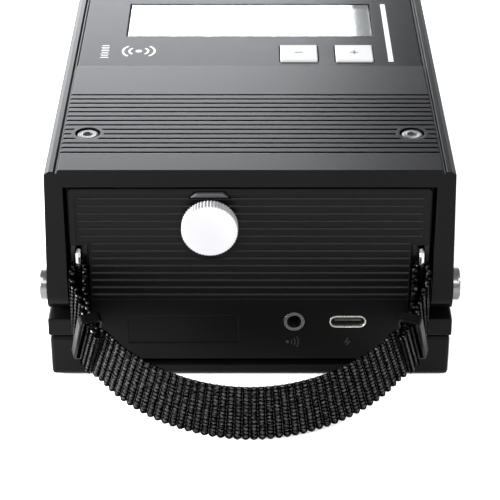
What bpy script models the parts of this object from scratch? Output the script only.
"""Travel shortwave receiver: a hinged case with a carrying strap at one end.

Metres, +Z up. The origin is in the middle of the underside. The strap end faces -Y and the case
runs along Y. The upper half (the lid) turns about a hinge axis along X, close to the strap end.
"""
import math

import bmesh
import bpy
from mathutils import Matrix, Vector

MM = 0.001

# ---------------------------------------------------------------- driving dimensions
GAP = 0.3 * MM                 # clearance between pieces that meet
SLIDE_GAP = 0.2 * MM           # clearance round a piece that slides or turns

# widths, halved from the middle plane
BODY_WIDTH = 98.7 * MM         # across the middle band, the widest part of the case
BAND_HALF = BODY_WIDTH / 2
LID_TOP_HALF = BAND_HALF - 1.15 * MM
LID_FOOT_HALF = BAND_HALF - 0.1 * MM
TRAY_HALF = BAND_HALF - 0.3 * MM
ARM_WALL = 4.24 * MM           # thickness of the lid's side arms at the hinge
ARM_INNER = LID_TOP_HALF - ARM_WALL
PANEL_HALF = ARM_INNER - 0.96 * MM
POST_INNER = BAND_HALF - 7.15 * MM

# heights
PAD_PROUD = 0.4 * MM
PAD_SEAT = 0.8 * MM
PAD_MARGIN = 11.0 * MM
PAD_CORNER = 6.0 * MM
TRAY_TOP = 11.5 * MM
BAND_BOTTOM = TRAY_TOP + GAP
BAND_TOP = 16.5 * MM
LID_FOOT = BAND_TOP + 1.0 * MM
BODY_HEIGHT = 57.5 * MM
DECK_THICK = 2.0 * MM
SHELL_WALL = 2.0 * MM

# hinge
PIVOT_DEPTH = 5.75 * MM        # also the radius of the arms' round lower ends
PIVOT_Z = LID_FOOT + PIVOT_DEPTH
PIN_RADIUS = 1.5 * MM
PIN_HEAD_RADIUS = 3.95 * MM
PIN_HEAD_OUT = 1.75 * MM       # how far a pin's head stands out of the band's side

# lengths along the case, from the strap end
GROOVE_START = 9.12 * MM
GROOVE_PITCH = 2.446 * MM
GROOVE_COUNT = 14
GROOVE_WIDTH = 0.75 * MM
GROOVE_DEPTH = 0.6 * MM
REAR_BAND = 17.6 * MM
KEY_MARGIN = 3.1 * MM
KEY_SIZE = 9.8 * MM
KEY_CENTRES = (12.9 * MM, 27.45 * MM)
DISPLAY_MARGIN = 7.0 * MM
DISPLAY_LENGTH = 22.0 * MM
DISPLAY_HALF = 33.0 * MM
SPEAKER_MARGIN = 8.0 * MM
GRILLE_RADIUS = 28.0 * MM
REAR_RAIL = 17.6 * MM

FASCIA_START = GROOVE_START + (GROOVE_COUNT - 1) * GROOVE_PITCH + REAR_BAND
KEY_START = FASCIA_START + KEY_MARGIN
DISPLAY_START = KEY_START + KEY_SIZE + DISPLAY_MARGIN
DISPLAY_END = DISPLAY_START + DISPLAY_LENGTH
SPEAKER_AT = DISPLAY_END + SPEAKER_MARGIN + GRILLE_RADIUS
FASCIA_END = SPEAKER_AT + GRILLE_RADIUS + SPEAKER_MARGIN
BODY_LENGTH = FASCIA_END + REAR_RAIL
FRONT = -BODY_LENGTH / 2
PIVOT_Y = FRONT + PIVOT_DEPTH

# strap end panel
PANEL_SET_BACK = 0.7 * MM
PANEL_THICK = 2.0 * MM
PANEL_BACK = PANEL_SET_BACK + PANEL_THICK
PANEL_TOP = BODY_HEIGHT - 5.35 * MM
PANEL_BOTTOM = 4.45 * MM
RIB_PITCH = 2.03 * MM
RIB_GROOVE = 0.55 * MM
RIB_DEPTH = 0.5 * MM
FIELD_DEPTH = 0.12 * MM        # the ribs stand in a field this much lower than the panel's face
RIB_TOP = PANEL_TOP - 2.35 * MM
RIB_BOTTOM = 21.8 * MM
RIB_HALF = PANEL_HALF - 2.05 * MM
POCKET_HALF = PANEL_HALF - 4.4 * MM
POCKET_BOTTOM = 13.5 * MM

KNOB_X = -9.5 * MM
KNOB_Z = PANEL_TOP - 9.15 * MM
KNOB_RADIUS = 6.7 * MM
KNOB_OUT = 3.3 * MM
KNOB_TEETH = 54
KNOB_SHAFT_RADIUS = 2.0 * MM
COLLAR_RADIUS = 6.6 * MM

JACK_X = 10.8 * MM
JACK_Z = 15.5 * MM
JACK_RADIUS = 2.55 * MM
JACK_BORE = 1.8 * MM
USB_X = 23.9 * MM
USB_Z = 15.4 * MM
USB_WIDTH = 8.94 * MM
USB_HEIGHT = 3.26 * MM

# strap and its hardware
BAR_RADIUS = 0.8 * MM
BAR_X = ARM_INNER - 2.8 * MM
BAR_DEPTH = 1.0 * MM
BAR_BOTTOM = POCKET_BOTTOM + BAR_RADIUS + 0.4 * MM
STRAP_WIDTH = 15.0 * MM
STRAP_THICK = 1.2 * MM
STRAP_REACH = 27.2 * MM        # how far the strap hangs out in front of the end
STRAP_HIGH = BAND_TOP + 0.4 * MM + STRAP_WIDTH / 2         # middle of the webbing at the bars
BAR_TOP = STRAP_HIGH + STRAP_WIDTH / 2 + 3.3 * MM
POCKET_TOP = BAR_TOP + 1.7 * MM
STRAP_LOW = STRAP_WIDTH / 2 + 0.3 * MM
STRAP_UPRIGHT = 2.0 * MM       # run in front of the bars over which the webbing stays upright
STRAP_TWIST = 7.0 * MM         # further run over which it turns square with its slope
SLIDER_LENGTH = 2.4 * MM
SLIDER_WALL = 0.7 * MM

# deck
DIAL_RADIUS = 24.0 * MM
DIAL_HEIGHT = 9.0 * MM
DECK_MARGIN = 6.0 * MM
BUTTON_SIZE = (16.0 * MM, 9.0 * MM)
BUTTON_PITCH = 20.0 * MM
BUTTON_TRAVEL = 0.8 * MM
KEY_TRAVEL = 0.6 * MM
MODE_TRAVEL = 6.0 * MM

# lid inside
LINER_Z = 29.2 * MM
LINER_THICK = 1.8 * MM
TOP_WALL = 2.3 * MM
FASCIA_THICK = 2.0 * MM
FASCIA_TOP = BODY_HEIGHT - 0.25 * MM
SCREW_HEAD_RADIUS = 2.7 * MM
SCREW_BOSS_RADIUS = 3.95 * MM
SCREW_X = LID_TOP_HALF - 9.0 * MM
SCREW_DEPTH = 19.3 * MM

# antenna, in a rebate along the rear top edge
ANTENNA_RADII = (2.9 * MM, 2.0 * MM, 1.15 * MM)
ANTENNA_WALL = 0.55 * MM
ANTENNA_EYE_RADIUS = 3.6 * MM
ANTENNA_Z = BODY_HEIGHT - 3.8 * MM
ANTENNA_BACK = 4.0 * MM        # from the rear face to the antenna's axis
REBATE_DEPTH = 8.5 * MM
REBATE_HEIGHT = 7.8 * MM

# the lid clears everything in front within this radius of the hinge axis
PANEL_REACH = math.hypot(PIVOT_DEPTH - PANEL_SET_BACK, PANEL_TOP - PIVOT_Z)
TOWER_RADIUS = PANEL_REACH - 0.45 * MM
TOWER_WALL = 1.8 * MM
LINER_RADIUS = TOWER_RADIUS + 1.3 * MM


def at(depth):
    """World Y of a place this far back from the strap end."""
    return FRONT + depth


# ---------------------------------------------------------------- scene and materials
for old in list(bpy.data.objects):
    bpy.data.objects.remove(old)

parts = bpy.data.collections.new("shortwave_receiver")
cutters = bpy.data.collections.new("cutters")
bpy.context.scene.collection.children.link(parts)
bpy.context.scene.collection.children.link(cutters)


def make_material(name, colour, roughness, metallic=0.0):
    material = bpy.data.materials.new(name)
    material.use_nodes = True
    shader = material.node_tree.nodes["Principled BSDF"]
    shader.inputs["Base Color"].default_value = (*colour, 1.0)
    shader.inputs["Roughness"].default_value = roughness
    shader.inputs["Metallic"].default_value = metallic
    return material


FINISHES = {
    "satin_black": ((0.022, 0.022, 0.024), 0.42, 0.0),
    "gloss_black": ((0.015, 0.015, 0.017), 0.12, 0.0),
    "deck_black": ((0.030, 0.030, 0.033), 0.55, 0.0),
    "white": ((0.88, 0.88, 0.90), 0.35, 0.0),
    "polished": ((0.80, 0.80, 0.80), 0.12, 1.0),
    "steel": ((0.45, 0.45, 0.46), 0.35, 1.0),
    "webbing": ((0.015, 0.015, 0.016), 0.75, 0.0),
    "board": ((0.02, 0.16, 0.08), 0.5, 0.0),
    "copper": ((0.72, 0.35, 0.18), 0.3, 1.0),
    "ferrite": ((0.09, 0.09, 0.10), 0.6, 0.0),
    "lens": ((0.30, 0.30, 0.31), 0.2, 0.0),
    "rubber": ((0.03, 0.03, 0.03), 0.8, 0.0),
    "battery": ((0.10, 0.16, 0.30), 0.4, 0.0),
    "paper": ((0.06, 0.06, 0.06), 0.7, 0.0),
}


# ---------------------------------------------------------------- modelling helpers
def put(name, mesh, location, is_cutter=False):
    """Link a new object for this mesh, as a part or as a cutter."""
    piece = bpy.data.objects.new(name, mesh)
    piece.location = location
    (cutters if is_cutter else parts).objects.link(piece)
    if is_cutter:
        piece.hide_render = True
        piece.display_type = "WIRE"
    return piece


def box(name, x, y, z, is_cutter=False):
    """A block between two limits on each axis, with its origin in its middle."""
    mesh = bpy.data.meshes.new(name)
    shape = bmesh.new()
    bmesh.ops.create_cube(shape, size=1.0)
    size = Vector((x[1] - x[0], y[1] - y[0], z[1] - z[0]))
    bmesh.ops.scale(shape, vec=size, verts=shape.verts)
    shape.to_mesh(mesh)
    shape.free()
    middle = ((x[0] + x[1]) / 2, (y[0] + y[1]) / 2, (z[0] + z[1]) / 2)
    return put(name, mesh, middle, is_cutter)


TURN = {"X": Matrix.Rotation(math.pi / 2, 3, "Y"), "Y": Matrix.Rotation(-math.pi / 2, 3, "X"),
        "Z": Matrix.Identity(3)}


def rod(name, radius, axis, start, end, centre, sides=32, is_cutter=False):
    """A cylinder along one axis. centre gives its place on the other two axes, in order."""
    mesh = bpy.data.meshes.new(name)
    shape = bmesh.new()
    bmesh.ops.create_cone(shape, cap_ends=True, segments=sides, radius1=radius, radius2=radius,
                          depth=end - start)
    bmesh.ops.rotate(shape, cent=(0, 0, 0), matrix=TURN[axis], verts=shape.verts)
    shape.to_mesh(mesh)
    shape.free()
    middle = list(centre)
    middle.insert("XYZ".index(axis), (start + end) / 2)
    piece = put(name, mesh, middle, is_cutter)
    if not is_cutter:
        smooth(piece)
    return piece


def smooth(piece):
    piece.data.shade_smooth()
    piece.data.set_sharp_from_angle(angle=math.radians(35))


def slab(name, points, plane, start, end, is_cutter=False):
    """A flat outline given in the XZ, YZ or XY plane, extruded between two limits."""
    curve = bpy.data.curves.new(name, "CURVE")
    curve.dimensions = "2D"
    curve.fill_mode = "BOTH"
    curve.extrude = (end - start) / 2
    spline = curve.splines.new("POLY")
    spline.points.add(len(points) - 1)
    for point, (across, up) in zip(spline.points, points):
        point.co = (across, up, 0.0, 1.0)
    spline.use_cyclic_u = True
    guide = bpy.data.objects.new(name + "_outline", curve)
    cutters.objects.link(guide)
    middle = (start + end) / 2
    if plane == "XZ":
        guide.rotation_euler = (math.pi / 2, 0, 0)
        guide.location = (0, middle, 0)
    elif plane == "YZ":
        guide.rotation_euler = (math.pi / 2, 0, math.pi / 2)
        guide.location = (middle, 0, 0)
    else:
        guide.location = (0, 0, middle)
    bpy.context.view_layer.update()
    solid = bpy.data.meshes.new_from_object(guide.evaluated_get(bpy.context.evaluated_depsgraph_get()))
    solid.name = name
    shape = bmesh.new()
    shape.from_mesh(solid)
    bmesh.ops.remove_doubles(shape, verts=shape.verts, dist=1e-6)
    bmesh.ops.dissolve_limit(shape, angle_limit=math.radians(0.5), verts=shape.verts, edges=shape.edges)
    bmesh.ops.recalc_face_normals(shape, faces=shape.faces)
    shape.to_mesh(solid)
    shape.free()
    piece = put(name, solid, (0, 0, 0), is_cutter)
    piece.matrix_world = guide.matrix_world.copy()
    bpy.data.objects.remove(guide)
    return piece


def turned(name, profile, location, axis="Z", steps=48, is_cutter=False):
    """A turned piece. profile runs down the outer side as (radius, height) pairs."""
    mesh = bpy.data.meshes.new(name)
    corners = [(radius, 0.0, height) for radius, height in profile]
    edges = [(i, i + 1) for i in range(len(corners) - 1)]
    mesh.from_pydata(corners, edges, [])
    piece = put(name, mesh, location, is_cutter)
    screw = piece.modifiers.new("turn", "SCREW")
    screw.steps = steps
    screw.render_steps = steps
    screw.use_merge_vertices = True
    screw.merge_threshold = 1e-6
    screw.use_smooth_shade = True
    piece.rotation_euler = TURN[axis].to_euler()
    return piece


def arc(centre, radius, first, last, count):
    """Points on an arc from one angle to another, in degrees."""
    points = []
    for i in range(count + 1):
        angle = math.radians(first + (last - first) * i / count)
        points.append((centre[0] + radius * math.cos(angle), centre[1] + radius * math.sin(angle)))
    return points


def rounded(x, z, radius, count=4):
    """A rectangle's outline with round corners, anticlockwise."""
    points = []
    for cx, cz, first in ((x[1] - radius, z[0] + radius, -90), (x[1] - radius, z[1] - radius, 0),
                          (x[0] + radius, z[1] - radius, 90), (x[0] + radius, z[0] + radius, 180)):
        points += arc((cx, cz), radius, first, first + 90, count)
    return points


def cut(piece, *tools, solver="EXACT"):
    for tool in tools:
        boolean = piece.modifiers.new("cut_" + tool.name, "BOOLEAN")
        boolean.operation = "DIFFERENCE"
        boolean.solver = solver
        boolean.object = tool


def add(piece, *tools):
    for tool in tools:
        boolean = piece.modifiers.new("join_" + tool.name, "BOOLEAN")
        boolean.operation = "UNION"
        boolean.solver = "EXACT"
        boolean.object = tool


def soften(piece, width, segments=1, angle=40):
    bevel = piece.modifiers.new("edges", "BEVEL")
    bevel.width = width
    bevel.segments = segments
    bevel.limit_method = "ANGLE"
    bevel.angle_limit = math.radians(angle)


def finish(piece, finish_name):
    """Give the piece a material of its own, made from one of the finishes."""
    colour, roughness, metallic = FINISHES[finish_name]
    piece.data.materials.append(make_material(piece.name + "_" + finish_name, colour, roughness, metallic))
    return piece


def carry(pivot, *pieces):
    """Parent pieces to an empty that stands on their joint's axis, keeping their places."""
    for piece in pieces:
        piece.parent = pivot
        piece.matrix_parent_inverse = Matrix.Translation(-pivot.location)


def empty(name, location):
    pivot = bpy.data.objects.new(name, None)
    pivot.location = location
    pivot.empty_display_size = 0.01
    cutters.objects.link(pivot)
    return pivot


REAR = -FRONT
REACH = 1.0 * MM               # how far a cutter runs past the faces that it cuts
SIDES = (("left", -1), ("right", 1))


# ---------------------------------------------------------------- lower shell and base pad
def lower_shell():
    shell = box("lower_shell", (-TRAY_HALF, TRAY_HALF), (FRONT, REAR), (PAD_PROUD, TRAY_TOP))
    soften(shell, 0.9 * MM, 2)
    inside = box("tray_hollow", (-TRAY_HALF + SHELL_WALL, TRAY_HALF - SHELL_WALL),
                 (FRONT + SHELL_WALL, REAR - SHELL_WALL),
                 (PAD_PROUD + SHELL_WALL, TRAY_TOP + REACH), True)
    post = POST_INNER - GAP
    mouth = box("tray_mouth", (-post, post), (FRONT - REACH, FRONT + SHELL_WALL + REACH),
                (3.27 * MM, TRAY_TOP + REACH), True)
    cut(shell, inside, mouth)
    seat = slab("pad_seat", pad_outline(GAP), "XY", -REACH, PAD_PROUD + PAD_SEAT, True)
    cut(shell, seat)
    return finish(shell, "satin_black")


def pad_outline(margin):
    half_length = BODY_LENGTH / 2 - PAD_MARGIN + margin
    half_width = TRAY_HALF - PAD_MARGIN + margin
    return rounded((-half_width, half_width), (-half_length, half_length), PAD_CORNER + margin)


def base_pad():
    pad = slab("base_pad", pad_outline(0.0), "XY", 0.0, PAD_PROUD + PAD_SEAT - GAP)
    soften(pad, 0.15 * MM)
    return finish(pad, "rubber")


# ---------------------------------------------------------------- middle band and deck
BRACKET_FRONT = 4.1 * MM
BRACKET_BACK = 12.1 * MM
BRACKET_INNER = POCKET_HALF + 0.2 * MM
BRACKET_OUTER = ARM_INNER - 0.36 * MM
BRACKET_TOP = POCKET_TOP - 0.4 * MM
TOWER_BACK = PIVOT_DEPTH + TOWER_RADIUS
DECK_SPLIT = TOWER_BACK - 2.6 * MM
DECK_OPEN_HALF = POCKET_HALF - 0.3 * MM
DIAL_AT = TOWER_BACK + DECK_MARGIN + DIAL_RADIUS
BUTTON_AT = DIAL_AT + DIAL_RADIUS + DECK_MARGIN + BUTTON_SIZE[1] / 2
MODE_AT = BUTTON_AT + BUTTON_SIZE[1] / 2 + DECK_MARGIN + 3.0 * MM
SHAFT_RADIUS = 3.0 * MM
MODE_SLOT = (MODE_TRAVEL / 2 + 1.5 * MM + GAP, 1.2 * MM + GAP)
BUTTONS = (("deck_button_down", -1), ("deck_button_band", 0), ("deck_button_up", 1))


def mid_frame():
    frame = box("mid_frame", (-BAND_HALF, BAND_HALF), (FRONT, REAR), (BAND_BOTTOM, BAND_TOP))
    soften(frame, 0.35 * MM, 2)
    under = box("deck_under", (-BAND_HALF + 2.55 * MM, BAND_HALF - 2.55 * MM),
                (at(14.5 * MM), REAR - 2.5 * MM), (BAND_BOTTOM - REACH, BAND_TOP - DECK_THICK), True)
    mouth = box("band_mouth", (-POST_INNER, POST_INNER), (FRONT - REACH, at(3.9 * MM)),
                (BAND_BOTTOM - REACH, BAND_TOP + REACH), True)
    seats = box("bracket_seats", (-BRACKET_OUTER - GAP, BRACKET_OUTER + GAP),
                (at(3.8 * MM), at(BRACKET_BACK) + GAP), (BAND_BOTTOM - REACH, BAND_TOP + REACH), True)
    well = box("tower_well", (-DECK_OPEN_HALF, DECK_OPEN_HALF),
               (at(BRACKET_BACK), at(DECK_SPLIT)), (BAND_BOTTOM - REACH, BAND_TOP + REACH), True)
    dial_dish = rod("dial_dish", DIAL_RADIUS + 0.8 * MM, "Z", BAND_TOP - 0.6 * MM, BAND_TOP + REACH,
                    (0, at(DIAL_AT)), 64, True)
    dial_hole = rod("dial_hole", SHAFT_RADIUS + GAP, "Z", BAND_BOTTOM, BAND_TOP + REACH,
                    (0, at(DIAL_AT)), 24, True)
    mode_slot = box("mode_slot", (-MODE_SLOT[0], MODE_SLOT[0]),
                    (at(MODE_AT) - MODE_SLOT[1], at(MODE_AT) + MODE_SLOT[1]),
                    (BAND_BOTTOM, BAND_TOP + REACH), True)
    cut(frame, under, mouth, seats, well, dial_dish, dial_hole, mode_slot)
    for name, place in BUTTONS:
        cut(frame, button_block(name + "_hole", place, GAP, (BAND_BOTTOM, BAND_TOP + REACH), True))
    return finish(frame, "satin_black")


def button_block(name, place, margin, z, is_cutter=False):
    across = BUTTON_SIZE[0] / 2 + margin
    along = BUTTON_SIZE[1] / 2 + margin
    middle = place * BUTTON_PITCH
    return box(name, (middle - across, middle + across), (at(BUTTON_AT) - along, at(BUTTON_AT) + along),
               z, is_cutter)


def deck_buttons():
    top = BAND_TOP + 1.8 * MM
    bottom = BAND_TOP - DECK_THICK - 1.5 * MM
    for name, place in BUTTONS:
        button = button_block(name, place, 0.0, (bottom, top))
        soften(button, 0.4 * MM, 2)
        flange = button_block(name + "_flange", place, 1.0 * MM,
                              (bottom + 0.1 * MM, BAND_TOP - DECK_THICK - GAP), True)
        add(button, flange)
        finish(button, "white" if place == 0 else "deck_black")


BOARD_THICK = 1.6 * MM


def deck_board():
    top = BAND_TOP - DECK_THICK - 1.5 * MM - BUTTON_TRAVEL - GAP - 1.2 * MM
    board = box("deck_board", (-32 * MM, 32 * MM), (at(BUTTON_AT) - 7 * MM, at(BUTTON_AT) + 6.5 * MM),
                (top - BOARD_THICK, top))
    for name, place in BUTTONS:
        middle = place * BUTTON_PITCH
        dome = rod(name + "_switch", 2.5 * MM, "Z", top - 0.2 * MM, top + 1.2 * MM,
                   (middle, at(BUTTON_AT)), 16, True)
        add(board, dome)
    return finish(board, "board")


def mode_switch():
    slide_z = BAND_TOP - DECK_THICK - 1.3 * MM
    rest = -MODE_TRAVEL / 2
    tab = box("mode_slide", (rest - 3.0 * MM, rest + 3.0 * MM),
              (at(MODE_AT) - 2.5 * MM, at(MODE_AT) + 2.5 * MM),
              (BAND_TOP + GAP, BAND_TOP + 2.3 * MM))
    soften(tab, 0.4 * MM, 2)
    stem = box("mode_stem", (rest - 1.5 * MM, rest + 1.5 * MM),
               (at(MODE_AT) - 1.2 * MM, at(MODE_AT) + 1.2 * MM),
               (slide_z, BAND_TOP + 1.0 * MM), True)
    add(tab, stem)
    finish(tab, "deck_black")
    switch = box("mode_switch", (-7 * MM, 7 * MM), (at(MODE_AT) - 3 * MM, at(MODE_AT) + 3 * MM),
                 (slide_z - GAP - 5.0 * MM, slide_z - GAP))
    soften(switch, 0.3 * MM)
    return finish(switch, "steel")


def tuning():
    base = BAND_TOP - 0.6 * MM + GAP
    top = base + DIAL_HEIGHT
    radius = DIAL_RADIUS
    profile = [(0.0, top - 0.9 * MM), (radius - 5.0 * MM, top - 0.9 * MM), (radius - 4.0 * MM, top),
               (radius - 1.4 * MM, top), (radius - 0.5 * MM, top - 0.9 * MM), (radius, base + 0.8 * MM),
               (radius, base), (SHAFT_RADIUS + SLIDE_GAP, base),
               (SHAFT_RADIUS + SLIDE_GAP, base + 5.0 * MM),
               (0.0, base + 5.0 * MM)]
    dial = turned("tuning_dial", profile, (0, at(DIAL_AT), 0), "Z", 48)
    finish(dial, "satin_black")
    shaft = rod("tuning_shaft", SHAFT_RADIUS, "Z", 8.0 * MM, base + 5.0 * MM - GAP, (0, at(DIAL_AT)), 24)
    finish(shaft, "steel")
    encoder = box("tuning_encoder", (-7 * MM, 7 * MM), (at(DIAL_AT) - 7 * MM, at(DIAL_AT) + 7 * MM),
                  (2.9 * MM, BAND_TOP - DECK_THICK - GAP))
    soften(encoder, 0.5 * MM)
    bore = rod("encoder_bore", SHAFT_RADIUS + SLIDE_GAP, "Z", 8.0 * MM - GAP, BAND_TOP, (0, at(DIAL_AT)),
               24, True)
    cut(encoder, bore)
    finish(encoder, "steel")


# ---------------------------------------------------------------- hinge
def hinge():
    for name, side in SIDES:
        inner, outer = sorted((side * BRACKET_INNER, side * BRACKET_OUTER))
        bracket = box("hinge_bracket_" + name, (inner, outer), (at(BRACKET_FRONT), at(BRACKET_BACK)),
                      (PAD_PROUD + SHELL_WALL + GAP, BRACKET_TOP))
        soften(bracket, 0.4 * MM)
        limits = sorted((side * (BRACKET_INNER - REACH), side * (BRACKET_OUTER + REACH)))
        bore = rod("pin_seat_" + name, PIN_RADIUS + SLIDE_GAP, "X", *limits, (PIVOT_Y, PIVOT_Z), 24, True)
        cut(bracket, bore)
        for leg, height in (("low", BAR_BOTTOM), ("high", BAR_TOP)):
            seat = rod("bar_seat_" + leg + "_" + name, BAR_RADIUS + SLIDE_GAP, "Y",
                       at(BRACKET_FRONT) - REACH,
                       at(BAR_LEG_END) + GAP, (side * BAR_X, height), 16, True)
            cut(bracket, seat)
        finish(bracket, "steel")
        profile = [(0.0, PIN_HEAD_OUT), (PIN_HEAD_RADIUS - 0.9 * MM, PIN_HEAD_OUT),
                   (PIN_HEAD_RADIUS - 0.3 * MM, PIN_HEAD_OUT - 0.2 * MM),
                   (PIN_HEAD_RADIUS, PIN_HEAD_OUT - 0.6 * MM), (PIN_HEAD_RADIUS, 0.0),
                   (PIN_RADIUS, 0.0), (PIN_RADIUS, BRACKET_INNER + 0.4 * MM - BAND_HALF),
                   (0.0, BRACKET_INNER + 0.4 * MM - BAND_HALF)]
        pin = turned("hinge_pin_" + name, profile, (side * BAND_HALF, PIVOT_Y, PIVOT_Z), "X", 40)
        if side < 0:
            pin.rotation_euler = (0, -math.pi / 2, 0)
        finish(pin, "polished")


# ---------------------------------------------------------------- strap end panel and what it carries
def end_panel():
    corner = 0.6 * MM
    half = [(PANEL_HALF, PANEL_BOTTOM), (PANEL_HALF, PANEL_TOP - corner), (PANEL_HALF - corner, PANEL_TOP)]
    outline = half + [(-x, z) for x, z in reversed(half)]
    panel = slab("end_panel", outline, "XZ", at(PANEL_SET_BACK), at(PANEL_BACK))
    soften(panel, 0.3 * MM, 2)
    foot_half = POST_INNER - 0.6 * MM
    for name, side in SIDES:
        depths = (FRONT, at(PANEL_BACK) + REACH)
        beside_foot = box("beside_foot_" + name, sorted((side * foot_half, side * (PANEL_HALF + REACH))),
                          depths,
                          (0.0, POCKET_BOTTOM + REACH), True)
        pocket = box("strap_pocket_" + name, sorted((side * POCKET_HALF, side * (PANEL_HALF + REACH))),
                     depths,
                     (POCKET_BOTTOM, POCKET_TOP), True)
        cut(panel, beside_foot, pocket, solver="MANIFOLD")
    count = int((RIB_TOP - RIB_BOTTOM) / RIB_PITCH + 1e-6) + 1
    for i in range(count):
        top = RIB_TOP - i * RIB_PITCH
        beside_pocket = top - RIB_GROOVE < POCKET_TOP + 0.6 * MM
        half_width = POCKET_HALF - 0.5 * MM if beside_pocket else RIB_HALF
        outline = [(FRONT, top), (at(PANEL_SET_BACK + RIB_DEPTH), top),
                   (at(PANEL_SET_BACK + FIELD_DEPTH), top - RIB_GROOVE), (FRONT, top - RIB_GROOVE)]
        groove = slab("rib_groove_%02d" % (i + 1), outline, "YZ", -half_width, half_width, True)
        cut(panel, groove, solver="MANIFOLD")
    field_half = RIB_HALF + 0.45 * MM
    field_top = RIB_TOP + 0.5 * MM
    upper_field = box("rib_field_upper", (-field_half, field_half),
                      (FRONT, at(PANEL_SET_BACK + FIELD_DEPTH)),
                      (POCKET_TOP + 0.8 * MM, field_top), True)
    lower_field = box("rib_field_lower", (-POCKET_HALF + 0.25 * MM, POCKET_HALF - 0.25 * MM),
                      (FRONT, at(PANEL_SET_BACK + FIELD_DEPTH)), (RIB_BOTTOM, field_top - 1.0 * MM), True)
    cut(panel, upper_field, lower_field, solver="MANIFOLD")
    label = box("label_recess", (-29.8 * MM, -2.9 * MM), (FRONT, at(PANEL_SET_BACK + 0.3 * MM)),
                (9.15 * MM, 17.1 * MM), True)
    knob_hole = rod("bushing_hole", BUSHING_RADIUS + GAP, "Y", FRONT, at(PANEL_BACK) + REACH,
                    (KNOB_X, KNOB_Z),
                    24, True)
    jack_hole = rod("jack_hole", JACK_RADIUS + SLIDE_GAP, "Y", FRONT, at(PANEL_BACK) + REACH,
                    (JACK_X, JACK_Z),
                    32, True)
    usb_hole = slab("usb_hole", usb_outline(SLIDE_GAP), "XZ", FRONT, at(PANEL_BACK) + REACH, True)
    lens_hole = slab("lens_hole", lens_outline(1.5 * GAP), "XZ", FRONT, at(PANEL_BACK) + REACH, True)
    cut(panel, label, knob_hole, jack_hole, usb_hole, lens_hole, solver="MANIFOLD")
    return finish(panel, "satin_black")


BUSHING_RADIUS = 3.2 * MM
LENS_BOTTOM = KNOB_Z + 6.9 * MM
LENS_TOP = PANEL_TOP - 1.15 * MM


def lens_outline(margin):
    low = 4.6 * MM + margin
    high = 3.2 * MM + margin
    bottom = LENS_BOTTOM - margin
    top = LENS_TOP + margin
    return [(KNOB_X - low, bottom), (KNOB_X + low, bottom), (KNOB_X + high, top), (KNOB_X - high, top)]


def usb_outline(margin):
    radius = USB_HEIGHT / 2 + margin
    x = (USB_X - USB_WIDTH / 2 - margin, USB_X + USB_WIDTH / 2 + margin)
    return rounded(x, (USB_Z - radius, USB_Z + radius), radius, 6)


def knob_and_volume():
    collar_profile = [(COLLAR_RADIUS, 0.0), (COLLAR_RADIUS, -0.5 * MM), (BUSHING_RADIUS + GAP, -0.5 * MM),
                      (BUSHING_RADIUS + GAP, 0.0), (COLLAR_RADIUS, 0.0)]
    collar = turned("knob_collar", collar_profile, (KNOB_X, at(PANEL_SET_BACK - GAP - 0.5 * MM), KNOB_Z),
                    "Y", 40)
    collar.rotation_euler = (math.pi / 2, 0, 0)
    finish(collar, "gloss_black")

    lens = slab("indicator_lens", lens_outline(0.0), "XZ", at(PANEL_SET_BACK - 0.35 * MM), at(PANEL_BACK))
    soften(lens, 0.2 * MM)
    finish(lens, "lens")

    back = FRONT - 0.35 * MM
    face = FRONT - KNOB_OUT
    outline = []
    for i in range(2 * KNOB_TEETH):
        radius = KNOB_RADIUS if i % 2 == 0 else KNOB_RADIUS - 0.28 * MM
        outline += arc((KNOB_X, KNOB_Z), radius, 180 * i / KNOB_TEETH, 180 * i / KNOB_TEETH, 1)[:1]
    knob = slab("volume_knob", outline, "XZ", face, back)
    bore = rod("knob_bore", KNOB_SHAFT_RADIUS + SLIDE_GAP, "Y", face + 1.0 * MM, back + REACH,
               (KNOB_X, KNOB_Z), 24, True)
    cut(knob, bore)
    finish(knob, "white")
    shaft = rod("volume_shaft", KNOB_SHAFT_RADIUS, "Y", face + 1.0 * MM + GAP, at(9.5 * MM),
                (KNOB_X, KNOB_Z), 24)
    finish(shaft, "steel")
    knob_pivot = empty("volume_knob_axis", (KNOB_X, face, KNOB_Z))
    carry(knob_pivot, knob, shaft)

    control = box("volume_control", (KNOB_X - 6 * MM, KNOB_X + 6 * MM), (at(5.0 * MM), at(10.8 * MM)),
                  (KNOB_Z - 6.5 * MM, KNOB_Z + 4.5 * MM))
    soften(control, 0.4 * MM)
    bushing = rod("control_bushing", BUSHING_RADIUS, "Y", at(PANEL_SET_BACK - 0.2 * MM), at(6.0 * MM),
                  (KNOB_X, KNOB_Z), 24, True)
    shaft_hole = rod("control_bore", KNOB_SHAFT_RADIUS + SLIDE_GAP, "Y", FRONT - REACH, at(9.5 * MM) + GAP,
                     (KNOB_X, KNOB_Z), 24, True)
    add(control, bushing)
    cut(control, shaft_hole)
    finish(control, "steel")


IO_BOARD_TOP = 12.4 * MM


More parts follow.
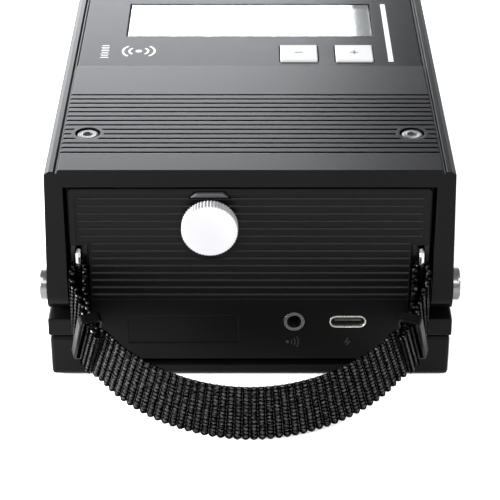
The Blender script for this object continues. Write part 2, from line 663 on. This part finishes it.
def sockets():
    jack = box("line_out_jack", (JACK_X - 3.2 * MM, JACK_X + 3.2 * MM), (at(PANEL_BACK) + GAP, at(14 * MM)),
               (IO_BOARD_TOP + GAP, JACK_Z + 3.0 * MM))
    soften(jack, 0.3 * MM)
    barrel = rod("jack_barrel", JACK_RADIUS, "Y", at(PANEL_SET_BACK - 0.2 * MM), at(5 * MM),
                 (JACK_X, JACK_Z), 32, True)
    bore = rod("jack_bore", JACK_BORE, "Y", FRONT - REACH, at(12.5 * MM), (JACK_X, JACK_Z), 24, True)
    add(jack, barrel)
    cut(jack, bore)
    finish(jack, "steel")

    usb = slab("usb_socket", usb_outline(0.0), "XZ", at(PANEL_SET_BACK - 0.1 * MM), at(9.0 * MM))
    mouth = slab("usb_mouth", usb_outline(-0.32 * MM), "XZ", FRONT, at(7.2 * MM), True)
    tongue = box("usb_tongue", (USB_X - 3.35 * MM, USB_X + 3.35 * MM), (at(1.6 * MM), at(7.6 * MM)),
                 (USB_Z - 0.35 * MM, USB_Z + 0.35 * MM), True)
    cut(usb, mouth)
    add(usb, tongue)
    finish(usb, "polished")

    board = box("io_board", (KNOB_X, BRACKET_INNER - 4.8 * MM),
                (at(PANEL_BACK) + GAP, at(DECK_SPLIT) - 2.0 * MM),
                (IO_BOARD_TOP - BOARD_THICK, IO_BOARD_TOP))
    finish(board, "board")


def tower_cover():
    arch_start = math.degrees(math.acos((PANEL_BACK + GAP - PIVOT_DEPTH) / TOWER_RADIUS))
    outer = arc((PIVOT_Y, PIVOT_Z), TOWER_RADIUS, 0, arch_start, 14)
    foot = BAND_TOP + GAP
    outline = [(at(PANEL_BACK) + GAP, foot), (at(TOWER_BACK), foot)] + outer
    cover = slab("tower_cover", outline, "YZ", -BRACKET_OUTER + 0.2 * MM, BRACKET_OUTER - 0.2 * MM)
    inner_radius = TOWER_RADIUS - TOWER_WALL
    inner = arc((PIVOT_Y, PIVOT_Z), inner_radius, 0, 90, 12)
    open_front = at(PANEL_BACK) - REACH
    hollow = slab("tower_hollow", [(open_front, foot - REACH),
                                   (PIVOT_Y + inner_radius, foot - REACH)] + inner
                  + [(open_front, PIVOT_Z + inner_radius)], "YZ", -BRACKET_OUTER + 2.0 * MM,
                  BRACKET_OUTER - 2.0 * MM,
                  True)
    cut(cover, hollow)
    for name, side in SIDES:
        limits = sorted((side * (BRACKET_INNER - GAP), side * (BRACKET_OUTER + REACH)))
        notch = box("bracket_notch_" + name, limits, (open_front, at(BRACKET_BACK) + GAP),
                    (foot - REACH, BRACKET_TOP + GAP), True)
        cut(cover, notch)
    return finish(cover, "satin_black")


# ---------------------------------------------------------------- strap
BAR_LEG_END = 6.0 * MM


def strap_bars():
    for name, side in SIDES:
        curve = bpy.data.curves.new("strap_bar_" + name, "CURVE")
        curve.dimensions = "3D"
        curve.bevel_depth = BAR_RADIUS
        curve.bevel_resolution = 2
        curve.use_fill_caps = True
        bend = 1.4 * MM
        route = [(BAR_LEG_END, BAR_TOP)]
        route += [(BAR_DEPTH + bend - bend * math.sin(a), BAR_TOP - bend + bend * math.cos(a))
                  for a in (0, math.pi / 6, math.pi / 3, math.pi / 2)]
        route += [(BAR_DEPTH + bend - bend * math.cos(a), BAR_BOTTOM + bend - bend * math.sin(a))
                  for a in (0, math.pi / 6, math.pi / 3, math.pi / 2)]
        route += [(BAR_LEG_END, BAR_BOTTOM)]
        spline = curve.splines.new("POLY")
        spline.points.add(len(route) - 1)
        for point, (depth, height) in zip(spline.points, route):
            point.co = (side * BAR_X, at(depth), height, 1.0)
        bar = bpy.data.objects.new("strap_bar_" + name, curve)
        parts.objects.link(bar)
        finish(bar, "polished")


def strap_height(depth):
    """Height of the webbing's middle line, falling from the bars to the surface it rests on."""
    fall = min(max(-depth / STRAP_REACH, 0.0), 1.0)
    ease = fall + 0.10 * math.sin(math.pi * fall) * (1 - fall) - 0.05 * math.sin(math.pi * fall)
    return STRAP_HIGH + (STRAP_LOW - STRAP_HIGH) * ease


def strap_route():
    """Half of the webbing's middle line in plan, from the tail's end to the middle: (x, depth)."""
    wrap = BAR_RADIUS + GAP + STRAP_THICK / 2
    main = [(BAR_X - 1.75 * MM, -2.0 * MM), (BAR_X - 2.05 * MM, -6.0 * MM), (BAR_X - 2.8 * MM, -9.5 * MM),
            (BAR_X - 4.0 * MM, -12.5 * MM)]
    lift = STRAP_THICK + GAP
    tail = [(BAR_X - 5.6 * MM + lift, -15.6 * MM + 0.5 * lift),
            (BAR_X - 4.0 * MM + lift, -12.5 * MM + 0.3 * lift),
            (BAR_X - 2.8 * MM + lift, -9.5 * MM), (BAR_X - 0.2 * MM, -6.7 * MM),
            (BAR_X + 1.5 * MM, -3.2 * MM)]
    half = list(tail)
    for angle in (-15, 15, 45, 75, 105, 135, 165, 190):
        turn = math.radians(angle)
        half.append((BAR_X + wrap * math.cos(turn), BAR_DEPTH + wrap * math.sin(turn)))
    half += main
    for angle in (56, 49, 42, 34, 26, 17, 8.5, 0):
        turn = math.radians(angle)
        half.append((BAR_X * math.sin(turn), -STRAP_REACH * math.cos(turn)))
    return half


def carry_strap():
    half = strap_route()
    route = [(-x, depth) for x, depth in half] + [(x, depth) for x, depth in reversed(half[:-1])]
    centres = [Vector((x, at(depth), strap_height(depth))) for x, depth in route]
    mesh = bpy.data.meshes.new("carry_strap")
    shape = bmesh.new()
    rings = []
    for i, centre in enumerate(centres):
        before = centres[max(i - 1, 0)]
        after = centres[min(i + 1, len(centres) - 1)]
        along = (after - before).normalized()
        level = Vector((along.y, -along.x, 0.0)).normalized()
        lean = min(max((-route[i][1] - STRAP_UPRIGHT) / STRAP_TWIST, 0.0), 1.0)
        across = Vector((0, 0, 1)) - along * along.z * lean
        across.normalize()
        corners = []
        for sign_level, sign_across in ((-1, -1), (1, -1), (1, 1), (-1, 1)):
            corners.append(shape.verts.new(centre + level * sign_level * STRAP_THICK / 2
                                           + across * sign_across * STRAP_WIDTH / 2))
        rings.append(corners)
    for first, second in zip(rings, rings[1:]):
        for k in range(4):
            shape.faces.new((first[k], first[(k + 1) % 4], second[(k + 1) % 4], second[k]))
    shape.faces.new(rings[0][::-1])
    shape.faces.new(rings[-1])
    bmesh.ops.recalc_face_normals(shape, faces=shape.faces)
    shape.to_mesh(mesh)
    shape.free()
    return finish(put("carry_strap", mesh, (0, 0, 0)), "webbing")


def strap_sliders():
    """A loop on each side that holds the strap and its tail together."""
    depth = -10.0 * MM
    step = 2.0 * MM
    slope = math.atan2(strap_height(depth - step) - strap_height(depth + step), 2 * step)
    layers = STRAP_THICK + 0.3 * MM
    inside = (STRAP_THICK + 0.9 * MM, STRAP_WIDTH / 2 + 0.8 * MM)
    outside = [reach + SLIDER_WALL for reach in inside]
    for name, side in SIDES:
        centre = Vector((side * (BAR_X - 2.95 * MM + layers / 2), at(depth), strap_height(depth)))
        turn = Matrix.Rotation(-side * math.radians(20.0), 4, "Z") @ Matrix.Rotation(-slope, 4, "X")
        outline = rounded((-outside[0], outside[0]), (-outside[1], outside[1]), 1.5 * MM)
        loop = slab("strap_slider_" + name, outline, "XZ", -SLIDER_LENGTH / 2, SLIDER_LENGTH / 2)
        tunnel_outline = rounded((-inside[0], inside[0]), (-inside[1], inside[1]), 0.4 * MM)
        tunnel = slab("slider_tunnel_" + name, tunnel_outline, "XZ", -SLIDER_LENGTH, SLIDER_LENGTH, True)
        for piece in (loop, tunnel):
            piece.matrix_world = Matrix.Translation(centre) @ turn @ piece.matrix_world
        soften(loop, 0.15 * MM)
        cut(loop, tunnel)
        finish(loop, "gloss_black")


# ---------------------------------------------------------------- inside the base
def base_insides():
    floor = PAD_PROUD + SHELL_WALL + GAP
    roof = BAND_TOP - DECK_THICK - GAP
    start = MODE_AT + 6.0 * MM
    battery = box("battery_pack", (-36 * MM, 36 * MM), (at(start), REAR - 10 * MM),
                  (floor, floor + 8.5 * MM))
    soften(battery, 1.0 * MM, 2)
    finish(battery, "battery")
    board = box("power_board", (-36 * MM, 36 * MM), (at(DECK_SPLIT) + 2 * MM, at(DIAL_AT) - 8.5 * MM),
                (floor + 1.5 * MM, floor + 1.5 * MM + BOARD_THICK))
    chip = box("power_board_coil", (-30 * MM, -22 * MM),
               (at(DECK_SPLIT) + 5 * MM, at(DECK_SPLIT) + 13 * MM),
               (floor + 2.5 * MM, floor + 6.5 * MM), True)
    add(board, chip)
    finish(board, "board")
    magnet = box("base_magnet", (-8 * MM, 8 * MM), (REAR - 7.5 * MM, REAR - 3.0 * MM),
                 (roof - 2.4 * MM, roof))
    finish(magnet, "steel")


# ---------------------------------------------------------------- lid
LEDGE_HALF = LID_TOP_HALF - 4.7 * MM
FASCIA_HALF = LID_TOP_HALF - 3.3 * MM
CAVITY_HALF = LID_TOP_HALF - 2.0 * MM
REBATE_FRONT = BODY_LENGTH - REBATE_DEPTH
FASCIA_BOTTOM = FASCIA_TOP - FASCIA_THICK
LID_REAR_WALL = 2.5 * MM


def cover_outline():
    """The lid's cross-section: raised top panel, groove, rail, chamfer and tapering side."""
    top = BODY_HEIGHT
    half = [(LID_FOOT_HALF, LID_FOOT), (LID_TOP_HALF, top - 1.3 * MM),
            (LID_TOP_HALF - 1.1 * MM, top - 0.5 * MM),
            (LID_TOP_HALF - 2.2 * MM, top - 0.5 * MM), (LID_TOP_HALF - 2.6 * MM, top - 1.0 * MM),
            (LID_TOP_HALF - 3.0 * MM, top - 1.0 * MM), (LID_TOP_HALF - 3.2 * MM, top - 0.2 * MM),
            (LID_TOP_HALF - 3.4 * MM, top)]
    return half + [(-x, z) for x, z in reversed(half)]


def top_cover():
    cover = slab("top_cover", cover_outline(), "XZ", FRONT, REAR)
    below = LID_FOOT - REACH
    rim_z = PANEL_TOP + 0.8 * MM
    front_cavity = box("rim_opening", (-ARM_INNER, ARM_INNER), (FRONT - REACH, at(40 * MM)),
                       (below, rim_z), True)
    side_cavity = box("lid_hollow", (-CAVITY_HALF, CAVITY_HALF), (at(12 * MM), REAR - LID_REAR_WALL),
                      (below, ANTENNA_Z - 6.5 * MM), True)
    upper_cavity = box("lid_hollow_upper", (-CAVITY_HALF, CAVITY_HALF),
                       (at(12 * MM), at(REBATE_FRONT - 2.0 * MM)),
                       (ANTENNA_Z - 8 * MM, BODY_HEIGHT - 4.0 * MM), True)
    roof_cavity = box("lid_hollow_roof", (-LEDGE_HALF, LEDGE_HALF),
                      (at(3.5 * MM), at(FASCIA_END - 2.0 * MM)),
                      (rim_z - REACH, BODY_HEIGHT - TOP_WALL), True)
    window = box("fascia_window", (-FASCIA_HALF - GAP, FASCIA_HALF + GAP),
                 (at(FASCIA_START), at(FASCIA_END)),
                 (FASCIA_BOTTOM - GAP, BODY_HEIGHT + REACH), True)
    rebate = box("antenna_rebate", (-LID_FOOT_HALF - REACH, LID_FOOT_HALF + REACH),
                 (at(REBATE_FRONT), REAR + REACH), (BODY_HEIGHT - REBATE_HEIGHT, BODY_HEIGHT + REACH), True)
    corner = [(PIVOT_Y, LID_FOOT - REACH)] + arc((PIVOT_Y, PIVOT_Z), PIVOT_DEPTH, -90, -180, 10)
    corner += [(FRONT - REACH, PIVOT_Z), (FRONT - REACH, LID_FOOT - REACH)]
    round_end = slab("arm_round_end", corner, "YZ", -LID_FOOT_HALF - REACH, LID_FOOT_HALF + REACH, True)
    pin_hole = rod("arm_pin_hole", PIN_RADIUS + SLIDE_GAP, "X", -LID_FOOT_HALF - REACH,
                   LID_FOOT_HALF + REACH,
                   (PIVOT_Y, PIVOT_Z), 24, True)
    cut(cover, front_cavity, side_cavity, upper_cavity, roof_cavity, window, rebate, round_end, pin_hole)

    half = LID_TOP_HALF - 3.1 * MM
    for i in range(GROOVE_COUNT):
        middle = at(GROOVE_START + i * GROOVE_PITCH)
        groove = box("top_groove_%02d" % (i + 1), (-half, half),
                     (middle - GROOVE_WIDTH / 2, middle + GROOVE_WIDTH / 2),
                     (BODY_HEIGHT - GROOVE_DEPTH, BODY_HEIGHT + REACH), True)
        for name, side in SIDES:
            reach = SCREW_BOSS_RADIUS ** 2 - (middle - at(SCREW_DEPTH)) ** 2
            if reach > 0:
                boss = rod("boss_%s_%02d" % (name, i + 1), SCREW_BOSS_RADIUS, "Z", BODY_HEIGHT - 2 * MM,
                           BODY_HEIGHT + 3 * MM, (side * SCREW_X, at(SCREW_DEPTH)), 40, True)
                cut(groove, boss)
        cut(cover, groove)
    for name, side in SIDES:
        place = (side * SCREW_X, at(SCREW_DEPTH))
        head_seat = rod("screw_seat_" + name, SCREW_HEAD_RADIUS + 0.35 * MM, "Z", BODY_HEIGHT - 1.3 * MM,
                        BODY_HEIGHT + REACH, place, 40, True)
        shank_hole = rod("screw_hole_" + name, 1.5 * MM, "Z", BODY_HEIGHT - TOP_WALL - REACH,
                         BODY_HEIGHT + REACH, place, 20, True)
        cut(cover, head_seat, shank_hole)
    pin_seat = rod("antenna_pin_seat", 1.35 * MM, "Y", at(REBATE_FRONT) - 1.6 * MM, REAR,
                   (ANTENNA_EYE_X, ANTENNA_Z), 20, True)
    cut(cover, pin_seat)
    return finish(cover, "satin_black")


def lid_screws():
    shank_end = PIVOT_Z + math.sqrt(LINER_RADIUS ** 2 - (SCREW_DEPTH - PIVOT_DEPTH) ** 2) + GAP
    top = BODY_HEIGHT - 0.15 * MM
    seat = BODY_HEIGHT - 1.3 * MM + GAP
    for name, side in SIDES:
        profile = [(0.0, top), (SCREW_HEAD_RADIUS - 0.5 * MM, top - 0.05 * MM),
                   (SCREW_HEAD_RADIUS, top - 0.4 * MM),
                   (SCREW_HEAD_RADIUS, seat), (1.2 * MM, seat), (1.2 * MM, shank_end), (0.0, shank_end)]
        screw = turned("lid_screw_" + name, profile, (side * SCREW_X, at(SCREW_DEPTH), 0), "Z", 32)
        socket = rod("screw_socket_" + name, 1.3 * MM, "Z", top - 0.6 * MM, top + REACH,
                     (side * SCREW_X, at(SCREW_DEPTH)), 6, True)
        cut(screw, socket)
        finish(screw, "polished")


def lid_liner():
    outer_radius = LINER_RADIUS + LINER_THICK
    top = PANEL_TOP + 0.4 * MM - PIVOT_Z
    inner_top = math.degrees(math.asin(top / LINER_RADIUS))
    inner_low = math.degrees(math.asin((LINER_Z - PIVOT_Z) / LINER_RADIUS))
    outer_top = math.degrees(math.asin(top / outer_radius))
    outer_low = math.degrees(math.asin((LINER_Z + LINER_THICK - PIVOT_Z) / outer_radius))
    rear = REAR - LID_REAR_WALL - GAP
    outline = arc((PIVOT_Y, PIVOT_Z), LINER_RADIUS, inner_top, inner_low, 12)
    outline += [(rear, LINER_Z), (rear, LINER_Z + LINER_THICK)]
    outline += arc((PIVOT_Y, PIVOT_Z), outer_radius, outer_low, outer_top, 12)
    liner = slab("lid_liner", outline, "YZ", -CAVITY_HALF + GAP, CAVITY_HALF - GAP)
    for name, side in SIDES:
        arm_notch = box("liner_arm_notch_" + name, sorted((side * (ARM_INNER - GAP),
                                                           side * (CAVITY_HALF + REACH))),
                        (at(8 * MM), at(12 * MM) + GAP), (PANEL_TOP - 12 * MM, BODY_HEIGHT), True)
        screw_hole = rod("liner_screw_hole_" + name, 1.5 * MM, "Z", PANEL_TOP - 12 * MM, BODY_HEIGHT,
                         (side * SCREW_X, at(SCREW_DEPTH)), 16, True)
        cut(liner, arm_notch, screw_hole)
    return finish(liner, "deck_black")


def fascia():
    face = box("front_fascia", (-FASCIA_HALF, FASCIA_HALF), (at(FASCIA_START) + GAP, at(FASCIA_END) - GAP),
               (FASCIA_BOTTOM, FASCIA_TOP))
    soften(face, 0.25 * MM)
    for k, middle in enumerate(KEY_CENTRES):
        hole = key_block("key_hole_%d" % (k + 1), middle, GAP,
                         (FASCIA_BOTTOM - REACH, FASCIA_TOP + REACH), True)
        cut(face, hole)
    display_hole = box("display_hole", (-DISPLAY_HALF - GAP, DISPLAY_HALF + GAP),
                       (at(DISPLAY_START) - GAP, at(DISPLAY_END) + GAP),
                       (FASCIA_BOTTOM - REACH, FASCIA_TOP + REACH),
                       True)
    grille_hole = rod("grille_hole", GRILLE_RADIUS + GAP, "Z", FASCIA_BOTTOM - REACH, FASCIA_TOP + REACH,
                      (0, at(SPEAKER_AT)), 64, True)
    cut(face, display_hole, grille_hole)
    finish(face, "gloss_black")

    window = box("display_window", (-DISPLAY_HALF, DISPLAY_HALF), (at(DISPLAY_START), at(DISPLAY_END)),
                 (FASCIA_BOTTOM + 0.2 * MM, FASCIA_TOP - 0.1 * MM))
    soften(window, 0.2 * MM)
    finish(window, "lens")
    display = box("display_module", (-DISPLAY_HALF - 1 * MM, DISPLAY_HALF + 1 * MM),
                  (at(DISPLAY_START) - 1 * MM, at(DISPLAY_END) + 1 * MM),
                  (FASCIA_BOTTOM - 4.2 * MM, FASCIA_BOTTOM - GAP))
    finish(display, "paper")


def key_block(name, middle, margin, z, is_cutter=False):
    reach = KEY_SIZE / 2 + margin
    start = at(KEY_START) - margin
    return box(name, (middle - reach, middle + reach), (start, start + 2 * reach), z, is_cutter)


def keys():
    flange_top = FASCIA_BOTTOM - GAP
    key_top = FASCIA_TOP + 0.55 * MM
    bottom = flange_top - 1.2 * MM
    for k, (name, middle) in enumerate(zip(("key_left", "key_right"), KEY_CENTRES)):
        key = key_block(name, middle, 0.0, (bottom, key_top))
        soften(key, 0.3 * MM, 2)
        flange = key_block(name + "_flange", middle, 1.0 * MM, (bottom + 0.1 * MM, flange_top), True)
        add(key, flange)
        finish(key, "white")
    board_top = bottom - KEY_TRAVEL - GAP - 0.8 * MM
    board = box("key_board", (KEY_CENTRES[0] - 8 * MM, KEY_CENTRES[1] + 8 * MM),
                (at(KEY_START) - 1 * MM, at(KEY_START) + KEY_SIZE + 3 * MM),
                (board_top - BOARD_THICK, board_top))
    for k, middle in enumerate(KEY_CENTRES):
        dome = rod("key_switch_%d" % (k + 1), 2.5 * MM, "Z", board_top - 0.2 * MM, board_top + 0.8 * MM,
                   (middle, at(KEY_START) + KEY_SIZE / 2), 16, True)
        add(board, dome)
    finish(board, "board")


SPEAKER_RIM = GRILLE_RADIUS + 3.0 * MM
CONE_DROP = 9.0 * MM
MAGNET_SHARE = 0.31            # of the room between the liner and the speaker's rim


def speaker():
    grille_top = FASCIA_TOP - 0.2 * MM
    grille = rod("speaker_grille", GRILLE_RADIUS, "Z", grille_top - 1.2 * MM, grille_top,
                 (0, at(SPEAKER_AT)), 64)
    slot_pitch = 5.0 * MM
    rows = int((GRILLE_RADIUS - 5 * MM) / slot_pitch)
    for i in range(-rows, rows + 1):
        half = math.sqrt((GRILLE_RADIUS - 3 * MM) ** 2 - (i * slot_pitch) ** 2)
        middle = at(SPEAKER_AT) + i * slot_pitch
        slot = box("grille_slot_%02d" % (i + rows + 1), (-half, half),
                   (middle - 1.1 * MM, middle + 1.1 * MM),
                   (grille_top - 2 * MM, grille_top + REACH), True)
        cut(grille, slot)
    finish(grille, "satin_black")

    rim_top = FASCIA_BOTTOM - GAP
    floor = LINER_Z + LINER_THICK + 1.5 * MM
    magnet_top = floor + MAGNET_SHARE * (rim_top - floor)
    rim_low = rim_top - 1.2 * MM
    wall = 1.0 * MM
    neck = 15.0 * MM
    profile = [(SPEAKER_RIM, rim_top), (SPEAKER_RIM, rim_low), (GRILLE_RADIUS, rim_low),
               (neck + wall, magnet_top + GAP), (6 * MM, magnet_top + GAP),
               (6 * MM, magnet_top + GAP + wall),
               (neck, magnet_top + GAP + wall), (GRILLE_RADIUS - 1.5 * MM, rim_top), (SPEAKER_RIM, rim_top)]
    frame = turned("speaker_frame", profile, (0, at(SPEAKER_AT), 0), "Z", 48)
    finish(frame, "steel")
    cone_top = rim_top - 0.2 * MM
    low = max(magnet_top + GAP + wall + GAP, cone_top - CONE_DROP)
    cone_profile = [(0.0, low + 1.6 * MM), (7 * MM, low + 1.6 * MM), (24.2 * MM, cone_top),
                    (25.0 * MM, cone_top),
                    (25.0 * MM, cone_top - 0.6 * MM), (8 * MM, low), (0.0, low)]
    scale = (GRILLE_RADIUS - 3.0 * MM) / (25.0 * MM)
    cone = turned("speaker_cone", [(r * scale, z) for r, z in cone_profile], (0, at(SPEAKER_AT), 0), "Z",
                  48)
    finish(cone, "paper")
    magnet = rod("speaker_magnet", 15.5 * MM, "Z", floor, magnet_top, (0, at(SPEAKER_AT)), 40)
    finish(magnet, "ferrite")


def lid_insides():
    floor = LINER_Z + LINER_THICK
    start = PIVOT_DEPTH + LINER_RADIUS + LINER_THICK + 5.0 * MM
    board_half = CAVITY_HALF - 6.2 * MM
    board = box("main_board", (-board_half, board_half), (at(start), at(DISPLAY_END) - 4 * MM),
                (floor + 2.0 * MM, floor + 2.0 * MM + BOARD_THICK))
    finish(board, "board")
    can_low = floor + 2.0 * MM + BOARD_THICK + GAP
    can = box("tuner_can", (-30 * MM, -2 * MM), (at(start) + 4 * MM, at(start) + 26 * MM),
              (can_low, can_low + 6 * MM))
    soften(can, 0.5 * MM)
    can_hollow = box("tuner_can_hollow", (-29.5 * MM, -2.5 * MM),
                     (at(start) + 4.5 * MM, at(start) + 25.5 * MM),
                     (can_low - REACH, can_low + 5.5 * MM), True)
    cut(can, can_hollow)
    finish(can, "polished")
    rod_z = floor + 6.0 * MM
    rod_at = DISPLAY_END + 7.0 * MM
    half = CAVITY_HALF - 6.0 * MM
    finish(rod("ferrite_rod", 4.0 * MM, "X", -half, half, (at(rod_at), rod_z), 24), "ferrite")
    coil_profile = [(5.4 * MM, 12 * MM), (5.4 * MM, -12 * MM), (4.3 * MM, -12 * MM), (4.3 * MM, 12 * MM),
                    (5.4 * MM, 12 * MM)]
    finish(turned("ferrite_coil", coil_profile, (0, at(rod_at), rod_z), "X", 32), "copper")
    magnet = box("lid_magnet", (-8 * MM, 8 * MM), (REAR - LID_REAR_WALL - GAP - 2.4 * MM,
                                                   REAR - LID_REAR_WALL - GAP),
                 (LID_FOOT + GAP, LID_FOOT + 4.3 * MM))
    finish(magnet, "steel")


# ---------------------------------------------------------------- antenna
ANTENNA_EYE_X = -LID_TOP_HALF + 5.2 * MM
ANTENNA_Y = REAR - ANTENNA_BACK
ANTENNA_END = LID_TOP_HALF - 9.0 * MM


def antenna():
    eye_half = 2.9 * MM
    elbow = rod("antenna_elbow", ANTENNA_EYE_RADIUS, "Y", ANTENNA_Y - eye_half, ANTENNA_Y + eye_half,
                (ANTENNA_EYE_X, ANTENNA_Z), 32)
    neck = rod("elbow_neck", ANTENNA_RADII[0], "X", ANTENNA_EYE_X + 1.0 * MM, ANTENNA_EYE_X + 6.5 * MM,
               (ANTENNA_Y, ANTENNA_Z), 24, True)
    bore = rod("elbow_bore", 1.05 * MM + SLIDE_GAP, "Y", ANTENNA_Y - 9 * MM, ANTENNA_Y + 9 * MM,
               (ANTENNA_EYE_X, ANTENNA_Z), 20, True)
    add(elbow, neck)
    cut(elbow, bore)
    finish(elbow, "polished")
    head = ANTENNA_Y + eye_half + GAP
    pin_profile = [(0.0, 0.7 * MM), (2.0 * MM, 0.6 * MM), (2.2 * MM, 0.0), (1.05 * MM, 0.0),
                   (1.05 * MM, -(head - at(REBATE_FRONT)) - 1.2 * MM),
                   (0.0, -(head - at(REBATE_FRONT)) - 1.2 * MM)]
    pin = turned("antenna_pin", pin_profile, (ANTENNA_EYE_X, head, ANTENNA_Z), "Y", 24)
    pin.rotation_euler = (-math.pi / 2, 0, 0)
    finish(pin, "polished")

    start = ANTENNA_EYE_X + 6.5 * MM + GAP
    swing = empty("antenna_axis", (ANTENNA_EYE_X, ANTENNA_Y, ANTENNA_Z))
    carry(swing, elbow)
    for k, name in enumerate(("antenna_tube", "antenna_middle")):
        radius = ANTENNA_RADII[k]
        first = start + k * 1.5 * MM
        last = ANTENNA_END + k * 2.0 * MM
        bore_radius = radius - ANTENNA_WALL
        profile = [(0.0, first + 1.0 * MM), (bore_radius, first + 1.0 * MM), (bore_radius, last),
                   (radius - 0.1 * MM, last), (radius, last - 0.1 * MM), (radius, first), (0.0, first)]
        tube = turned(name, profile, (0, ANTENNA_Y, ANTENNA_Z), "X", 24)
        carry(swing, tube)
        finish(tube, "polished")
    first = start + 3.0 * MM
    last = ANTENNA_END + 4.0 * MM
    tip_radius = ANTENNA_RADII[0]
    profile = [(0.0, last + 3.2 * MM), (tip_radius - 0.8 * MM, last + 3.0 * MM),
               (tip_radius, last + 2.2 * MM),
               (tip_radius, last + 0.4 * MM), (tip_radius - 0.4 * MM, last), (ANTENNA_RADII[2], last),
               (ANTENNA_RADII[2], first), (0.0, first)]
    tip = turned("antenna_tip", profile, (0, ANTENNA_Y, ANTENNA_Z), "X", 24)
    carry(swing, tip)
    finish(tip, "polished")


# ---------------------------------------------------------------- build
lower_shell()
base_pad()
mid_frame()
deck_buttons()
deck_board()
mode_switch()
tuning()
hinge()
end_panel()
knob_and_volume()
sockets()
tower_cover()
strap_bars()
carry_strap()
strap_sliders()
base_insides()
top_cover()
lid_screws()
lid_liner()
fascia()
keys()
speaker()
lid_insides()
antenna()

LID_PIECES = ("top_cover", "lid_liner", "front_fascia", "lid_screw_left", "lid_screw_right",
              "display_window",
              "display_module", "speaker_grille", "speaker_frame", "speaker_cone", "speaker_magnet",
              "main_board",
              "tuner_can", "ferrite_rod", "ferrite_coil", "key_board", "lid_magnet", "antenna_pin",
              "key_left",
              "key_right")
lid_axis = empty("lid_axis", (0, PIVOT_Y, PIVOT_Z))
carry(lid_axis, *(bpy.data.objects[name] for name in LID_PIECES))
